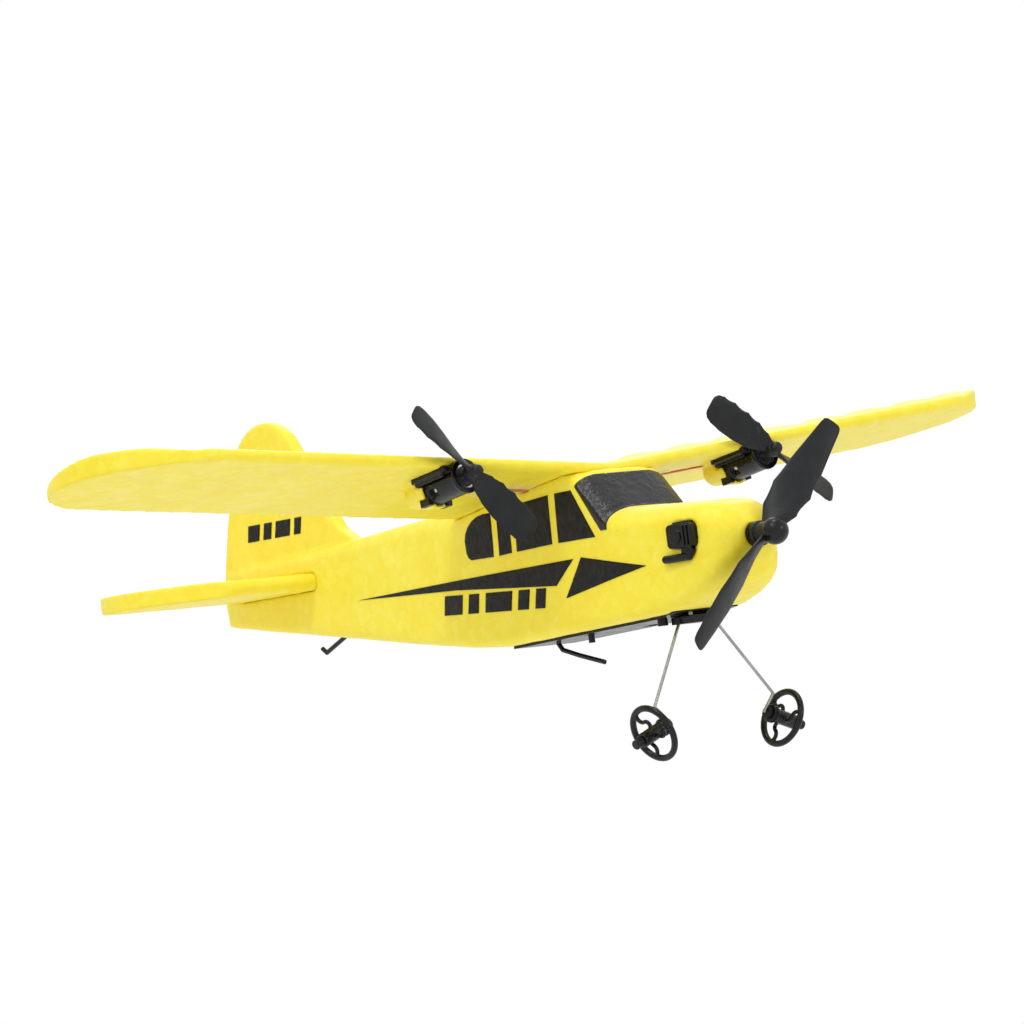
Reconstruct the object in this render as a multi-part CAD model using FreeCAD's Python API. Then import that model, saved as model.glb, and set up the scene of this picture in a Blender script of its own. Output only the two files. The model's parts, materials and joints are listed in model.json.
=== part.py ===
"""RC foam airplane: high-wing two-motor glider built from expanded-foam parts.

Frame: millimetres, +X towards the nose, +Y towards the port wing, +Z up.
The origin is on the ground plane, under the middle of the overall length.
One STEP file is written per named piece.
"""
import FreeCAD, Part
import math
import os

V = FreeCAD.Vector
X_AXIS = V(1, 0, 0)
Y_AXIS = V(0, 1, 0)
Z_AXIS = V(0, 0, 1)
SIDES = {"left": 1, "right": -1}

# ---------------------------------------------------------------- driving dimensions
SPAN = 340.0                # wing tip to wing tip
LENGTH = 261.6              # tail to spinner tip

# fuselage
CABIN_HALF_WIDTH = 17.0
SCREEN_TOP_X = 64.4         # top edge of the sloping windscreen panel
SCREEN_FOOT_X = 75.0        # where the windscreen meets the cowl
BELLY_START_X = 21.0        # the belly turns level-ish here, and the tray starts
BELLY_START_Z = 38.5
BELLY_SLOPE = 0.0365        # rise per mm going forward
DECAL = 0.25                # thickness of every sticker and film

# wing
WING_TE_X = 5.5
WING_CHORD = 57.5
WING_ROOT_Z = 76.4          # underside at the trailing edge, on the centre line
WING_INCIDENCE = 7.6        # degrees
WING_DIHEDRAL = 5.0         # degrees
WING_THICK = 6.0
WING_TIP_FRONT = 46.0       # depth of the tip curve at the leading edge
WING_TIP_REAR = 24.0        # depth of the tip curve at the trailing edge

# tail
TAIL_Z = 67.4               # mid-plane of the tailplane
TAIL_THICK = 5.4
TAIL_LE_X = -75.0
TAIL_TE_X = -126.5
TAIL_HALF_SPAN = 62.0
FIN_THICK = 5.0

# wing motors
MOTOR_Y = 57.1
HUB_X = 67.4                # propeller plane on the motor axis
HUB_Z = 87.1
MOTOR_PITCH = 8.5           # degrees, nose up
CAN_R = 3.5
CAN_LENGTH = 16.0
MOUNT_R = 4.7
SHAFT_R = 0.4
WING_PROP_R = 25.1
RUN = 0.05                  # radial running clearance of every turning shaft

# nose propeller
NOSE_PROP_X = 123.2
NOSE_PROP_Z = 60.2
NOSE_PROP_R = 42.6
NOSE_SHAFT_R = 0.75
SPINNER_R = 3.9

# undercarriage
WHEEL_X = 93.3
WHEEL_Y = 24.5
WHEEL_Z = 8.2
WHEEL_R = 8.7
WHEEL_CAMBER = 0.38         # drop per mm outboard along each axle
WIRE_R = 0.45
LEG_TOP = V(89.2, 5.8, 39.7)
LEG_KINK = V(92.8, 22.6, 15.5)


# ---------------------------------------------------------------- small helpers
def save(shape, node):
    """Write one piece as parts/NODE.step."""
    shape.exportStep("parts/" + node + ".step")


def cylinder(start, direction, length, radius):
    return Part.makeCylinder(radius, length, start, direction)


def tube(start, direction, length, outer, inner):
    return cylinder(start, direction, length, outer).cut(
        cylinder(start, direction, length, inner))


def box(low, high):
    size = V(*high).sub(V(*low))
    return Part.makeBox(size.x, size.y, size.z, V(*low))


def rod(points, radius):
    """Bent wire: straight runs joined by ball-shaped bends."""
    shape = None
    for a, b in zip(points, points[1:]):
        run = cylinder(a, b.sub(a), b.sub(a).Length, radius)
        shape = run if shape is None else shape.fuse(run)
    for bend in points[1:-1]:
        shape = shape.fuse(Part.makeSphere(radius, bend))
    return shape.removeSplitter()


def mirrored(shape):
    return shape.mirror(V(0, 0, 0), Y_AXIS)


def for_side(shape, side):
    """Shapes are drawn on the port side; starboard is their mirror image."""
    return shape if SIDES[side] > 0 else mirrored(shape)


def side_prism(outline, y_low, y_high):
    """Extrude an outline drawn in X and Z across the width."""
    points = [V(x, y_low, z) for x, z in outline]
    face = Part.Face(Part.makePolygon(points + points[:1]))
    return face.extrude(V(0, y_high - y_low, 0))


def largest(shape):
    """The main solid, without the slivers a cut can leave inside a pocket."""
    return max(shape.Solids, key=lambda solid: solid.Volume)


def group(shapes):
    return Part.makeCompound(list(shapes))


def belly_z(x):
    return BELLY_START_Z + (x - BELLY_START_X) * BELLY_SLOPE


def wing_underside(x, y):
    rise = (x - WING_TE_X) * math.tan(math.radians(WING_INCIDENCE))
    return WING_ROOT_Z + rise + abs(y) * math.tan(math.radians(WING_DIHEDRAL))


# ---------------------------------------------------------------- fuselage
# station x, half width, bottom z, top z, bottom corner radius, top corner height, top corner reach
FUSELAGE_STATIONS = [
    (-128.0, 2.7, 57.4, 74.6, 1.2, 1.2, 1.3),
    (-116.0, 4.4, 55.7, 75.2, 1.8, 2.0, 2.2),
    (-61.0, 9.0, 48.1, 77.6, 3.0, 4.0, 4.2),
    (-25.0, 13.0, 43.3, 79.8, 3.0, 5.0, 5.3),
    (WING_TE_X, 16.2, 39.6, 81.0, 3.0, 5.0, 6.0),
    (BELLY_START_X, CABIN_HALF_WIDTH, BELLY_START_Z, 87.0, 3.0, 5.0, 8.0),
    (55.0, CABIN_HALF_WIDTH, belly_z(55.0), 91.0, 3.0, 5.0, 11.0),
    (SCREEN_TOP_X, CABIN_HALF_WIDTH, belly_z(SCREEN_TOP_X), 85.2, 3.0, 5.2, 13.0),
    (SCREEN_FOOT_X, CABIN_HALF_WIDTH, belly_z(SCREEN_FOOT_X), 73.2, 3.0, 5.6, 11.5),
    (90.0, 16.2, belly_z(90.0), 72.4, 3.5, 6.5, 9.0),
    (98.0, 15.4, 42.0, 72.0, 4.5, 7.0, 8.5),
    (104.5, 14.6, 43.8, 71.6, 5.0, 7.0, 8.0),
    (109.6, 13.7, 45.7, 70.9, 5.2, 6.8, 7.5),
    (112.8, 12.5, 47.8, 69.7, 5.0, 6.2, 6.8),
    (115.2, 10.7, 50.4, 67.7, 4.6, 5.0, 5.4),
    (117.2, 8.2, 53.4, 65.4, 3.8, 4.0, 4.3),
    (118.6, 5.0, 56.4, 63.4, 2.6, 2.6, 2.8),
]


def section(x, half_width, low, high, r_low, r_high, arch):
    """Rounded rectangle standing across the fuselage at station x; its top corners are elliptical."""
    diag = 1 - math.sqrt(0.5)
    w = half_width

    def p(y, z):
        return V(x, y, z)

    def corner(a, mid, b):
        return Part.Arc(a, mid, b).toShape()

    def shoulder(sign):
        middle = p(sign * (w - arch), high - r_high)
        oval = Part.Ellipse(p(sign * w, high - r_high), p(sign * (w - arch), high), middle)
        return Part.ArcOfEllipse(oval, 0, math.pi / 2).toShape()

    edges = [
        Part.makeLine(p(-w + r_low, low), p(w - r_low, low)),
        corner(p(w - r_low, low), p(w - r_low * diag, low + r_low * diag), p(w, low + r_low)),
        Part.makeLine(p(w, low + r_low), p(w, high - r_high)),
        shoulder(1),
        Part.makeLine(p(w - arch, high), p(-w + arch, high)),
        shoulder(-1),
        Part.makeLine(p(-w, high - r_high), p(-w, low + r_low)),
        corner(p(-w, low + r_low), p(-w + r_low * diag, low + r_low * diag), p(-w + r_low, low)),
    ]
    return Part.Wire(edges)


def hull(grow=0.0):
    """The fuselage skin, optionally grown outwards by a sticker's thickness."""
    wires = []
    for x, w, low, high, r_low, r_high, arch in FUSELAGE_STATIONS:
        wires.append(section(x, w + grow, low - grow, high + grow,
                             r_low + grow, r_high + grow, arch + grow))
    return Part.makeLoft(wires, True, True)


def fin():
    """Upright fin with a rounded top, grown out of the rear fuselage."""
    base = [(-50.0, 72.0), (-60.9, 78.1), (-67.7, 82.3), (-70.8, 87.0), (-86.0, 109.4)]
    top = V(-101.0, 0, 119.5)
    rear = [(-115.6, 113.3), (-123.6, 94.2), (-128.8, 76.0), (-LENGTH / 2, 66.0), (-129.6, 57.6),
            (-115.0, 62.0)]
    flat = [V(x, 0, z) for x, z in base]
    back = [V(x, 0, z) for x, z in rear]
    edges = [Part.makeLine(a, b) for a, b in zip(flat, flat[1:])]
    edges.append(Part.Arc(flat[-1], top, back[0]).toShape())
    edges += [Part.makeLine(a, b) for a, b in zip(back, back[1:] + flat[:1])]
    blade = Part.Face(Part.Wire(edges)).extrude(V(0, FIN_THICK, 0))
    blade.translate(V(0, -FIN_THICK / 2, 0))
    rim = [e for e in blade.Edges if e.BoundBox.ZMin > 79.0 and e.BoundBox.YLength < 0.01]
    return blade.makeFillet(1.6, rim)


def wing_seat():
    """Everything above the wing's flat underside, over the wing's chord."""
    shape = None
    rear = WING_TE_X - 0.25
    front = WING_TE_X + WING_CHORD
    reach = 30.0
    height = 20.0
    for sign in (1, -1):
        corners = [V(x, sign * y, wing_underside(x, y))
                   for x, y in ((rear, 0), (front, 0), (front, reach), (rear, reach))]
        floor = Part.Face(Part.makePolygon(corners + corners[:1]))
        half = floor.extrude(V(0, 0, height))
        shape = half if shape is None else shape.fuse(half)
    return shape


BAY = ((27.0, -11.0, 30.0), (91.0, 11.0, 52.5))      # equipment bay above the tray


def lead_points(lane):
    """Path of one motor lead, from the motor's end cap into the equipment bay."""
    x = 40.0 + lane
    inboard = 12.0
    depth = 0.2
    return [V(x, MOTOR_Y - 3.0, wing_underside(x, MOTOR_Y - 3.0) + depth),
            V(x, inboard, wing_underside(x, inboard) + depth),
            V(x, 8.0, 50.0)]


LEAD_R = 0.5
LEAD_LANES = (0.0, 1.4)


def motor_leads():
    return group(rod(lead_points(lane), LEAD_R) for lane in LEAD_LANES)


def fuselage(cutters):
    body = hull().fuse(fin()).removeSplitter()
    body = body.cut(wing_seat())
    body = body.cut(box(*BAY))
    for cutter in cutters:
        body = body.cut(cutter)
    return largest(body)


# ---------------------------------------------------------------- wing and tailplane
def wing_profile():
    """Flat-bottomed section on the centre line: thin tail, round nose."""
    c = WING_CHORD
    lean = math.radians(WING_INCIDENCE)

    def p(along, up):
        x = WING_TE_X + along * math.cos(lean) - up * math.sin(lean)
        z = WING_ROOT_Z + along * math.sin(lean) + up * math.cos(lean)
        return V(x, 0, z)

    nose_low = p(c - 1.8, 0)
    nose_tip = p(c - 0.1, 1.5)
    nose_high = p(c - 3.0, 3.3)
    upper = Part.BSplineCurve()
    upper.interpolate([nose_high, p(0.66 * c, WING_THICK), p(0.33 * c, 4.2), p(0, 1.6)])
    edges = [Part.makeLine(p(0, 0), nose_low),
             Part.Arc(nose_low, nose_tip, nose_high).toShape(),
             upper.toShape(),
             Part.makeLine(p(0, 1.6), p(0, 0))]
    return Part.Face(Part.Wire(edges))


def wing_plan():
    """Upright prism over the plan outline of the port half, tip curves included."""
    tip_x = WING_TE_X + 0.40 * WING_CHORD
    front = WING_TE_X + WING_CHORD
    plan = rounded_plan(WING_TE_X - 1.0, front + 1.0, tip_x, SPAN / 2, WING_TIP_FRONT, WING_TIP_REAR)
    column = plan.extrude(V(0, 0, 60))
    column.translate(V(0, 0, 60))
    return column


def nacelle():
    """Foam fairing that carries the tail of the motor mount."""
    place = motor_place()
    cone = Part.makeCone(6.0, 4.0, 9.0, V(-17.0, 0, 0), V(-1, 0, 0))
    lump = cone.fuse(Part.makeSphere(4.0, V(-26.0, 0, 0)))
    lump = lump.cut(box((-35.0, -8.0, 3.2), (-15.0, 8.0, 10.0)))
    lump.Placement = place
    return lump


def wing(cutters):
    profile = wing_profile()
    reach = SPAN / 2 + 3.0
    rise = reach * math.tan(math.radians(WING_DIHEDRAL))
    half = profile.extrude(V(0, reach, rise)).common(wing_plan())
    half = half.fuse(nacelle())
    whole = half.fuse(mirrored(half)).removeSplitter()
    for cutter in cutters:
        whole = whole.cut(cutter)
    return largest(whole)


def rounded_plan(rear, front, tip_x, half, depth_front, depth_rear):
    """Outline of one port half in plan: straight edges and curved tip."""
    def quarter(x_edge, depth):
        points = []
        for k in range(9):
            t = math.radians(90.0 * k / 8)
            points.append(V(tip_x + (x_edge - tip_x) * math.cos(t), half - depth + depth * math.sin(t), 0))
        curve = Part.BSplineCurve()
        curve.interpolate(points)
        return curve.toShape()

    edges = [Part.makeLine(V(rear, 0, 0), V(front, 0, 0)),
             Part.makeLine(V(front, 0, 0), V(front, half - depth_front, 0)),
             quarter(front, depth_front),
             quarter(rear, depth_rear),
             Part.makeLine(V(rear, half - depth_rear, 0), V(rear, 0, 0))]
    return Part.Face(Part.Wire(Part.__sortEdges__(edges)))


def tailplane():
    """One flat slab with a round leading edge and rounded tips, slotted through the tail."""
    thick = TAIL_THICK
    low = TAIL_Z - thick / 2
    high = TAIL_Z + thick / 2
    thin = 1.4
    nose = thick / 2

    def p(x, z):
        return V(x, 0, z)

    edges = [Part.makeLine(p(TAIL_TE_X, TAIL_Z - thin), p(TAIL_TE_X + 8.0, low)),
             Part.makeLine(p(TAIL_TE_X + 8.0, low), p(TAIL_LE_X - nose, low)),
             Part.Arc(p(TAIL_LE_X - nose, low), p(TAIL_LE_X, TAIL_Z), p(TAIL_LE_X - nose, high)).toShape(),
             Part.makeLine(p(TAIL_LE_X - nose, high), p(TAIL_TE_X + 8.0, high)),
             Part.makeLine(p(TAIL_TE_X + 8.0, high), p(TAIL_TE_X, TAIL_Z + thin)),
             Part.makeLine(p(TAIL_TE_X, TAIL_Z + thin), p(TAIL_TE_X, TAIL_Z - thin))]
    chord = TAIL_LE_X - TAIL_TE_X
    plan = rounded_plan(TAIL_TE_X - 1.0, TAIL_LE_X + 1.0, TAIL_TE_X + 0.42 * chord,
                        TAIL_HALF_SPAN, 30.0, 17.0)
    column = plan.extrude(V(0, 0, 20.0))
    column.translate(V(0, 0, TAIL_Z - 10.0))
    slab = Part.Face(Part.Wire(edges)).extrude(V(0, TAIL_HALF_SPAN + 3.0, 0))
    half = slab.common(column)
    return half.fuse(mirrored(half)).removeSplitter()


# ---------------------------------------------------------------- stickers and films
def skin():
    """A shell one sticker thick all over the fuselage; stickers are cut from it."""
    return hull(DECAL).cut(hull())


def sticker(shell, outline):
    """The part of the shell inside an outline on the port wall."""
    return shell.common(side_prism(outline, 1.0, CABIN_HALF_WIDTH + 3.0))


WINDOW_PANES = [
    [(12.4, 65.2), (23.3, 65.1), (24.0, 78.0), (20.2, 78.0), (17.2, 77.5), (14.6, 76.5), (12.4, 75.0),
     (10.8, 73.0), (10.2, 71.0), (10.3, 67.4), (11.0, 66.0)],
    [(26.0, 65.1), (31.7, 65.4), (32.4, 78.8), (26.8, 78.2)],
    [(34.2, 65.4), (50.4, 65.9), (50.9, 80.1), (35.0, 79.0)],
    [(53.3, 65.9), (69.7, 65.9), (61.3, 80.3), (54.0, 80.2)],
]
FLASH_WEDGES = [
    [(-52.0, 59.3), (58.8, 60.7), (50.0, 53.8), (3.0, 57.2)],
    [(62.4, 60.8), (89.4, 55.5), (53.8, 49.8)],
]
SIDE_BARS = [(-5.2, 9.6), (7.6, 5.0), (16.0, 12.4), (31.4, 5.0), (39.4, 4.4)]
SIDE_BAR_SLOPE = -0.048
FIN_BARS = [(-114.6, 6.0), (-106.4, 4.0), (-100.2, 7.6), (-90.4, 3.4)]


def slanted_bar(x, width, z_low, z_high, slope):
    lean = (z_high - z_low) * 0.25
    low = z_low + x * slope
    high = z_high + x * slope
    drop = width * slope
    return [(x, low), (x + width, low + drop), (x + width + lean, high + drop), (x + lean, high)]


def side_windows(shell):
    return group(sticker(shell, pane) for pane in WINDOW_PANES)


def side_flash(shell):
    return group(sticker(shell, wedge) for wedge in FLASH_WEDGES)


def side_marking(shell):
    bars = [slanted_bar(x, width, 50.1, 55.8, SIDE_BAR_SLOPE) for x, width in SIDE_BARS]
    return group(sticker(shell, bar) for bar in bars)


def fin_marking():
    """Plain bars on the fin, flat on its port face."""
    face = FIN_THICK / 2
    bars = [slanted_bar(x, width, 83.2, 88.3, 0.0) for x, width in FIN_BARS]
    return group(side_prism(bar, face, face + DECAL) for bar in bars)


def windscreen(shell):
    """Film over the sloping front of the cabin, wrapped onto both shoulders."""
    front = [(63.2, 81.2), (72.4, 67.4), (90.0, 67.4), (90.0, 84.3), (64.8, 84.3)]
    zone = side_prism(front, -30.0, 30.0)
    ahead = box((60.0, -30.0, 60.0), (SCREEN_FOOT_X, 30.0, 90.0))
    return shell.common(zone).common(ahead)


# ---------------------------------------------------------------- nose pieces
ENGINE_PLACE = V(104.6, 14.35, 62.3)
ENGINE_YAW = -9.8           # follows the cowl's taper


def engine_cylinder():
    """Moulded dummy cylinder: head with fins and a round boss, neck, and a bent exhaust.

    Drawn with X along the cowl, Y outwards and the origin in the middle of the head.
    """
    head = box((-4.9, -3.0, -3.4), (4.7, 1.8, 3.4))
    head = head.makeFillet(1.4, [e for e in head.Edges if e.BoundBox.YLength > 4.0])
    boss = cylinder(V(-1.5, 1.0, -0.2), Y_AXIS, 1.5, 2.0)
    cap = box((-2.6, -1.5, 3.0), (3.4, 1.3, 4.0))
    shape = head.fuse(boss).fuse(cap)
    for k in range(3):
        fin_x = 1.2 + 1.3 * k
        shape = shape.fuse(box((fin_x, -1.0, -2.9), (fin_x + 0.6, 2.5, 2.9)))
    neck = box((-0.8, -2.0, -5.2), (2.8, 1.1, -3.0))
    pipe = rod([V(-6.8, 0.8, -6.1), V(1.6, 0.8, -6.1), V(3.4, 0.6, -3.8)], 1.15)
    end = Part.makeSphere(1.15, V(-6.8, 0.8, -6.1))
    shape = shape.fuse(neck).fuse(pipe).fuse(end).removeSplitter()
    shape.Placement = FreeCAD.Placement(ENGINE_PLACE, FreeCAD.Rotation(Z_AXIS, ENGINE_YAW))
    return shape


def nose_bush():
    plug = cylinder(V(106.0, 0, NOSE_PROP_Z), X_AXIS, 13.0, 3.2)
    flange = cylinder(V(118.2, 0, NOSE_PROP_Z), X_AXIS, 1.3, 3.5)
    bore = cylinder(V(100, 0, NOSE_PROP_Z), X_AXIS, 30, NOSE_SHAFT_R + RUN)
    return plug.fuse(flange).cut(bore)


def nose_shaft():
    return cylinder(V(103.4, 0, NOSE_PROP_Z), X_AXIS, NOSE_PROP_X + 3.0 - 103.4, NOSE_SHAFT_R)


def nose_shaft_collar():
    return tube(V(103.8, 0, NOSE_PROP_Z), X_AXIS, 1.9, 2.2, NOSE_SHAFT_R)


def shaft_cavity():
    """Room in the foam for the shaft's end and collar, opening into the bush's hole."""
    return cylinder(V(102.6, 0, NOSE_PROP_Z), X_AXIS, 14.0, 3.0)


def nose_spinner():
    ball = Part.makeSphere(SPINNER_R, V(LENGTH / 2 - SPINNER_R, 0, NOSE_PROP_Z))
    back = box((LENGTH / 2 - 10, -5, NOSE_PROP_Z - 5), (NOSE_PROP_X + 1.8, 5, NOSE_PROP_Z + 5))
    ball = ball.cut(back)
    return ball.cut(nose_shaft())


# ---------------------------------------------------------------- propellers
# fraction of radius, chord, thickness, blade angle in degrees
WING_BLADE = [
    (0.06, 0.17, 0.080, 56.0),
    (0.18, 0.27, 0.060, 48.0),
    (0.34, 0.345, 0.046, 38.0),
    (0.52, 0.385, 0.038, 30.0),
    (0.72, 0.395, 0.030, 23.5),
    (0.88, 0.365, 0.026, 20.0),
    (0.955, 0.315, 0.023, 18.5),
    (0.99, 0.235, 0.020, 18.0),
    (1.00, 0.17, 0.016, 18.0),
]
NOSE_BLADE = [
    (0.045, 0.12, 0.062, 60.0),
    (0.20, 0.25, 0.050, 50.0),
    (0.38, 0.28, 0.040, 38.0),
    (0.60, 0.235, 0.034, 29.0),
    (0.80, 0.185, 0.028, 24.0),
    (0.95, 0.150, 0.023, 21.5),
    (0.985, 0.132, 0.020, 21.0),
    (1.00, 0.095, 0.016, 21.0),
]


def blade(radius, shape):
    """One blade along +Y, turning about X, by oval sections along its length."""
    wires = []
    for share, chord, thick, angle in shape:
        centre = V(0, share * radius, 0)
        oval = Part.Ellipse(centre, chord * radius / 2, thick * radius / 2)
        edge = oval.toShape()
        edge.rotate(centre, X_AXIS, 90)
        edge.rotate(centre, Y_AXIS, 90 - angle)
        wires.append(Part.Wire(edge))
    return Part.makeLoft(wires, True, True)


def wing_propeller():
    """Drawn about the origin with the motor axis along +X."""
    hub = cylinder(V(-1.9, 0, 0), X_AXIS, 3.4, 2.3)
    ball = Part.makeSphere(1.95, V(1.9, 0, 0))
    one = blade(WING_PROP_R, WING_BLADE)
    two = one.copy()
    two.rotate(V(0, 0, 0), X_AXIS, 180)
    bore = cylinder(V(-5, 0, 0), X_AXIS, 7.2, SHAFT_R)
    return hub.fuse([ball, one, two]).cut(bore)


def nose_propeller():
    """Free-turning propeller, drawn about the origin with its axis along +X."""
    collar = cylinder(V(-3.5, 0, 0), X_AXIS, 1.6, 3.6)
    hub = cylinder(V(-3.0, 0, 0), X_AXIS, 4.8, 3.1).fuse(collar)
    one = blade(NOSE_PROP_R, NOSE_BLADE)
    two = one.copy()
    two.rotate(V(0, 0, 0), X_AXIS, 180)
    bore = cylinder(V(-5, 0, 0), X_AXIS, 12, NOSE_SHAFT_R)
    return hub.fuse([one, two]).cut(bore)


# ---------------------------------------------------------------- wing motors
def motor_place():
    """From the motor's own frame (axis +X, origin on the propeller plane) to the port wing."""
    turn = FreeCAD.Rotation(Y_AXIS, -MOTOR_PITCH)
    return FreeCAD.Placement(V(HUB_X, MOTOR_Y, HUB_Z), turn)


def placed(shape, side):
    moved = shape.copy()
    moved.Placement = motor_place().multiply(moved.Placement)
    return for_side(moved, side)


CAN_FRONT = -3.6
CAN_WALL = 0.5
CAN_REAR = CAN_FRONT - CAN_LENGTH


def motor_can():
    """Drawn steel tube with a front face and a bearing boss."""
    body = tube(V(CAN_REAR, 0, 0), X_AXIS, CAN_LENGTH, CAN_R, CAN_R - CAN_WALL)
    face = cylinder(V(CAN_FRONT - 1.3, 0, 0), X_AXIS, 0.6, CAN_R)
    boss = cylinder(V(CAN_FRONT - 1.0, 0, 0), X_AXIS, 1.4, 1.1)
    bore = cylinder(V(CAN_REAR, 0, 0), X_AXIS, 30, SHAFT_R + RUN)
    return body.fuse(face).fuse(boss).removeSplitter().cut(bore)


def motor_magnet():
    """Fixed magnet core inside the turning winding."""
    start = V(CAN_FRONT - 10.6, 0, 0)
    return tube(start, X_AXIS, 9.3, 1.7, SHAFT_R + RUN)


def motor_rotor():
    """Bell winding on a rear disc with its commutator."""
    start = V(CAN_FRONT - 12.4, 0, 0)
    cup = tube(start, X_AXIS, 10.8, 2.7, 2.1)
    disc = cylinder(start, X_AXIS, 0.8, 2.7)
    commutator = cylinder(start.add(V(-1.8, 0, 0)), X_AXIS, 1.8, 0.9)
    bore = cylinder(start.add(V(-5, 0, 0)), X_AXIS, 10, SHAFT_R)
    return cup.fuse(disc).fuse(commutator).removeSplitter().cut(bore)


def motor_shaft():
    return cylinder(V(CAN_REAR + 0.3, 0, 0), X_AXIS, 2.2 - (CAN_REAR + 0.3), SHAFT_R)


def motor_end_cap():
    """Plastic rear cap that carries the brushes."""
    plug = tube(V(CAN_REAR, 0, 0), X_AXIS, 1.2, CAN_R - CAN_WALL, SHAFT_R + RUN)
    plate = cylinder(V(CAN_REAR - 0.9, 0, 0), X_AXIS, 0.9, 3.2)
    return plug.fuse(plate).removeSplitter()


def motor_mount():
    """Black moulding: sleeve round the can, neck, and a plate glued into the wing."""
    sleeve = tube(V(-18.6, 0, 0), X_AXIS, 15.6, MOUNT_R, CAN_R)
    rim = tube(V(-4.0, 0, 0), X_AXIS, 1.0, MOUNT_R + 0.35, CAN_R)
    plate = box((-20.5, -7.0, 1.6), (-4.4, 7.0, 3.1))
    plate = plate.makeFillet(1.5, [e for e in plate.Edges if e.BoundBox.ZLength > 1.0])
    mount = sleeve.fuse(rim).fuse(plate)
    for y in (-3.4, 0.0, 3.4):
        clip = box((-20.4, y - 0.9, -5.1), (-16.2, y + 0.9, -2.6))
        mount = mount.fuse(clip)
    mount = mount.cut(cylinder(V(-30.0, 0, 0), X_AXIS, 11.4, 4.1))
    for y in (-5.8, 5.8):
        mount = mount.fuse(box((-19.0, y - 0.5, 0.4), (-6.0, y + 0.5, 1.8)))
    window = box((-15.4, -6.0, -3.4), (-12.2, -3.0, -1.2))
    mount = mount.cut(window).cut(mirrored(window))
    mount = mount.cut(cylinder(V(-30, 0, 0), X_AXIS, 26.4, CAN_R)).removeSplitter()
    mount.rotate(V(0, 0, 0), X_AXIS, WING_DIHEDRAL)
    return mount


# ---------------------------------------------------------------- undercarriage
def axle_direction():
    d = V(0, 1, -WHEEL_CAMBER)
    return d.normalize()


def along_axle(distance):
    """A point on the port axle, measured outboard from the wheel's middle."""
    return V(WHEEL_X, WHEEL_Y, WHEEL_Z).add(axle_direction().multiply(distance))


def leg_points():
    return [LEG_TOP, LEG_KINK, along_axle(-7.0), along_axle(7.6)]


def gear_wire():
    """One sprung wire: axle, leg, cross-bar in the clamp, leg, axle."""
    port = leg_points()
    starboard = [V(p.x, -p.y, p.z) for p in port]
    return rod(list(reversed(starboard)) + port, WIRE_R)


def wheel():
    """Drawn about the origin with the axle along +Z: thin rim, S spokes, long barrel hub."""
    rim = Part.makeTorus(WHEEL_R - 0.95, 0.95)
    hub = cylinder(V(0, 0, -5.0), Z_AXIS, 10.0, 2.1)
    flange = cylinder(V(0, 0, -5.0), Z_AXIS, 1.6, 2.6)
    shape = rim.fuse(hub).fuse(flange)
    for k in range(3):
        inner = V(1.6, 0, 0)
        knee = V(4.2, 0.0, 0)
        outer = V(WHEEL_R - 1.0, 0.0, 0)
        first = Part.Arc(inner, V(2.9, 1.2, 0), knee).toShape()
        second = Part.Arc(knee, V((4.2 + WHEEL_R - 1.0) / 2, -1.3, 0), outer).toShape()
        for piece in (first, second):
            path = Part.Wire([piece])
            start = piece.valueAt(piece.FirstParameter)
            tangent = piece.tangentAt(piece.FirstParameter)
            ring = Part.Wire(Part.makeCircle(0.6, start, tangent))
            spoke = path.makePipeShell([ring], True, False)
            spoke.rotate(V(0, 0, 0), Z_AXIS, 120 * k)
            shape = shape.fuse(spoke)
        joint = Part.makeSphere(0.6, knee)
        joint.rotate(V(0, 0, 0), Z_AXIS, 120 * k)
        shape = shape.fuse(joint)
    bore = cylinder(V(0, 0, -8), Z_AXIS, 16, WIRE_R + RUN)
    return shape.cut(bore)


def on_axle(shape, side, distance=0.0):
    """Move a piece drawn along +Z onto the axle."""
    moved = shape.copy()
    turn = FreeCAD.Rotation(Z_AXIS, axle_direction())
    moved.Placement = FreeCAD.Placement(along_axle(distance), turn)
    return for_side(moved, side)


def stop_collar():
    return tube(V(0, 0, -0.6), Z_AXIS, 1.2, 1.7, WIRE_R)


def retainer_cap():
    cap = cylinder(V(0, 0, -1.2), Z_AXIS, 2.8, 1.4)
    cap = cap.makeFillet(0.4, [e for e in cap.Edges if e.BoundBox.ZMin > 1.5])
    return cap.cut(cylinder(V(0, 0, -2), Z_AXIS, 3.2, WIRE_R))


TRAY_FRONT_X = 94.5
TRAY_THICK = 0.8
TRAY_HALF_WIDTH = 11.8
CLAMP_LOW_Z = 38.0
CLAMP_FRONT_X = 94.0
CLAMP_REAR_X = 85.6
CLAMP_HALF_WIDTH = 6.2      # the legs leave through the block's sides, clear of its flat underside
SCREW_PLACES = ((91.9, -4.2), (91.9, 4.2))
SWITCH_X = 50.9
SWITCH_Y = -7.0
SOCKET_X = 64.0
SOCKET_Y = 6.0


def tray_low(x):
    return belly_z(x) - TRAY_THICK


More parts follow.
